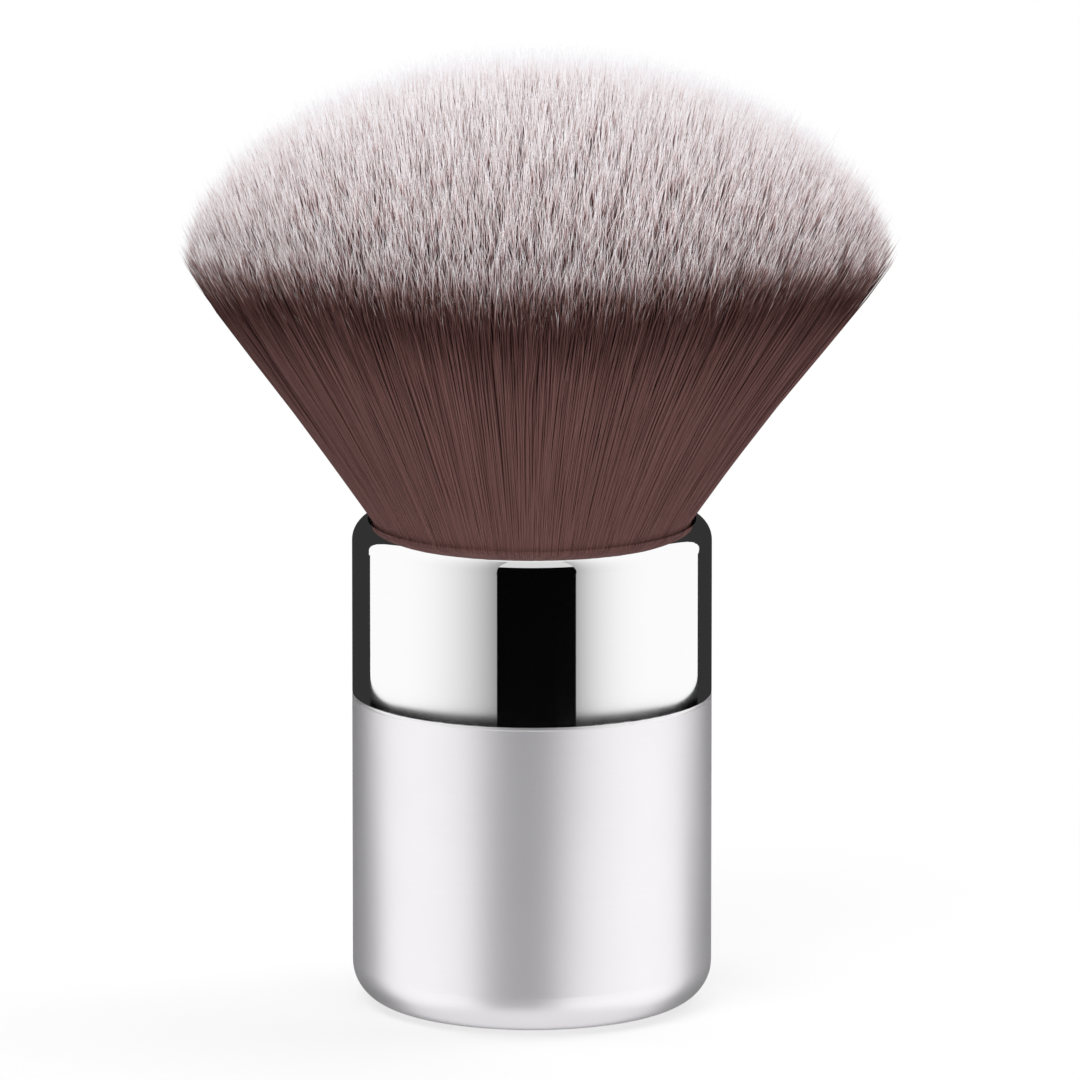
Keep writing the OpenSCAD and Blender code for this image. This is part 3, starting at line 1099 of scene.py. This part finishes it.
class BRUSH_OT_ferrule(bpy.types.Operator):
    """Finish the ferrule in polished aluminium"""

    bl_idname = "brush.ferrule"
    bl_label = "Ferrule"

    def execute(self, context):
        material = polished_aluminium(context.scene.brush_metal)
        take_finish(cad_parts["ferrule"], material)
        return {"FINISHED"}


class BRUSH_OT_filaments(bpy.types.Operator):
    """Fill the mouth with a knot of two-tone filaments that fan out into a dome"""

    bl_idname = "brush.filaments"
    bl_label = "Filaments"

    def execute(self, context):
        settings = context.scene.brush_head
        head = strands(settings, 1)
        material = two_tone_filament(settings)
        wedge = np.floor((head["angle"] / (2 * math.pi) % 1) * WEDGES).astype(int) % WEDGES
        for index in range(WEDGES):
            parts = []
            for outer, levels in ((True, FULL_LEVELS), (False, INNER_LEVELS)):
                chosen = (wedge == index) & ((head["rho"] > OUTER_SHARE) == outer)
                parts.append(strand_mesh(head, chosen, levels, settings.diameter))
            offset = len(parts[0][0])
            points = np.concatenate([part[0] for part in parts])
            faces = np.concatenate([parts[0][1], parts[1][1] + offset])
            uv = np.concatenate([part[2] for part in parts])
            obj = mesh_object(f"filaments_{index + 1}", points, faces, uv, ["OFBake", "strand"])
            take_finish(obj, material)
            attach(obj, BODY)
            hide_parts("bristles")
        return {"FINISHED"}


class BRUSH_OT_core_and_cup(bpy.types.Operator):
    """Finish the moulded core and the knot's cup"""

    bl_idname = "brush.core_and_cup"
    bl_label = "Core and cup"

    def execute(self, context):
        settings = context.scene.brush_inner
        core = moulded_plastic("core_plastic", settings.core_colour, roughness=0.55)
        cup = moulded_plastic("cup_plastic", settings.cup_colour, roughness=0.45)
        take_finish(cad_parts["handle_core"], core)
        take_finish(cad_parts["knot_cup"], cup)
        return {"FINISHED"}


class BRUSH_OT_weight(bpy.types.Operator):
    """Finish the steel slug"""

    bl_idname = "brush.weight"
    bl_label = "Weight"

    def execute(self, context):
        material = turned_steel(context.scene.brush_inner)
        take_finish(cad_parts["base_weight"], material)
        return {"FINISHED"}


class BRUSH_OT_adhesive(bpy.types.Operator):
    """Finish the two rings of adhesive"""

    bl_idname = "brush.adhesive"
    bl_label = "Adhesive"

    def execute(self, context):
        colour = context.scene.brush_inner.adhesive_colour
        material = cured_resin("adhesive", colour, roughness=0.25)
        for name in ("shell_glue", "ferrule_glue"):
            take_finish(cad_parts[name], material)
        return {"FINISHED"}


class BRUSH_OT_roots(bpy.types.Operator):
    """Finish the cast root plug and wind the thread round it"""

    bl_idname = "brush.roots"
    bl_label = "Roots and thread"

    def execute(self, context):
        settings = context.scene.brush_inner
        resin = cured_resin("root_resin", settings.resin_colour, roughness=0.3)
        take_finish(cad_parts["root_plug"], resin)
        thread = wound_thread(settings.thread_turns)
        take_finish(thread, waxed_thread(settings))
        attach(thread, BODY)
        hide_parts("knot_thread")
        return {"FINISHED"}


OPERATORS = (
    BRUSH_OT_studio, BRUSH_OT_handle_shell, BRUSH_OT_ferrule, BRUSH_OT_filaments,
    BRUSH_OT_core_and_cup, BRUSH_OT_weight, BRUSH_OT_adhesive, BRUSH_OT_roots,
)


class VIEW3D_PT_brush(bpy.types.Panel):
    """Sizes, colours and pieces of the brush"""

    bl_label = "Kabuki brush"
    bl_space_type = "VIEW_3D"
    bl_region_type = "UI"
    bl_category = "Brush"

    def draw(self, context):
        for name, kind in SETTINGS.items():
            box = self.layout.box()
            box.label(text=kind.__doc__)
            for field in kind.__annotations__:
                box.prop(getattr(context.scene, name), field)
        for operator in OPERATORS:
            self.layout.operator(operator.bl_idname)


def register():
    """Adds the classes and their settings."""
    for kind in (*SETTINGS.values(), *OPERATORS, VIEW3D_PT_brush):
        bpy.utils.register_class(kind)
    for name, kind in SETTINGS.items():
        setattr(bpy.types.Scene, name, bpy.props.PointerProperty(type=kind))


def unregister():
    """Removes the classes and their settings."""
    for name in SETTINGS:
        delattr(bpy.types.Scene, name)
    for kind in (VIEW3D_PT_brush, *reversed(OPERATORS), *SETTINGS.values()):
        bpy.utils.unregister_class(kind)


def main():
    """Builds the brush and its studio."""
    register()
    for operator in OPERATORS:
        group_name, name = operator.bl_idname.split(".")
        getattr(getattr(bpy.ops, group_name), name)()


if __name__ == "__main__":
    main()
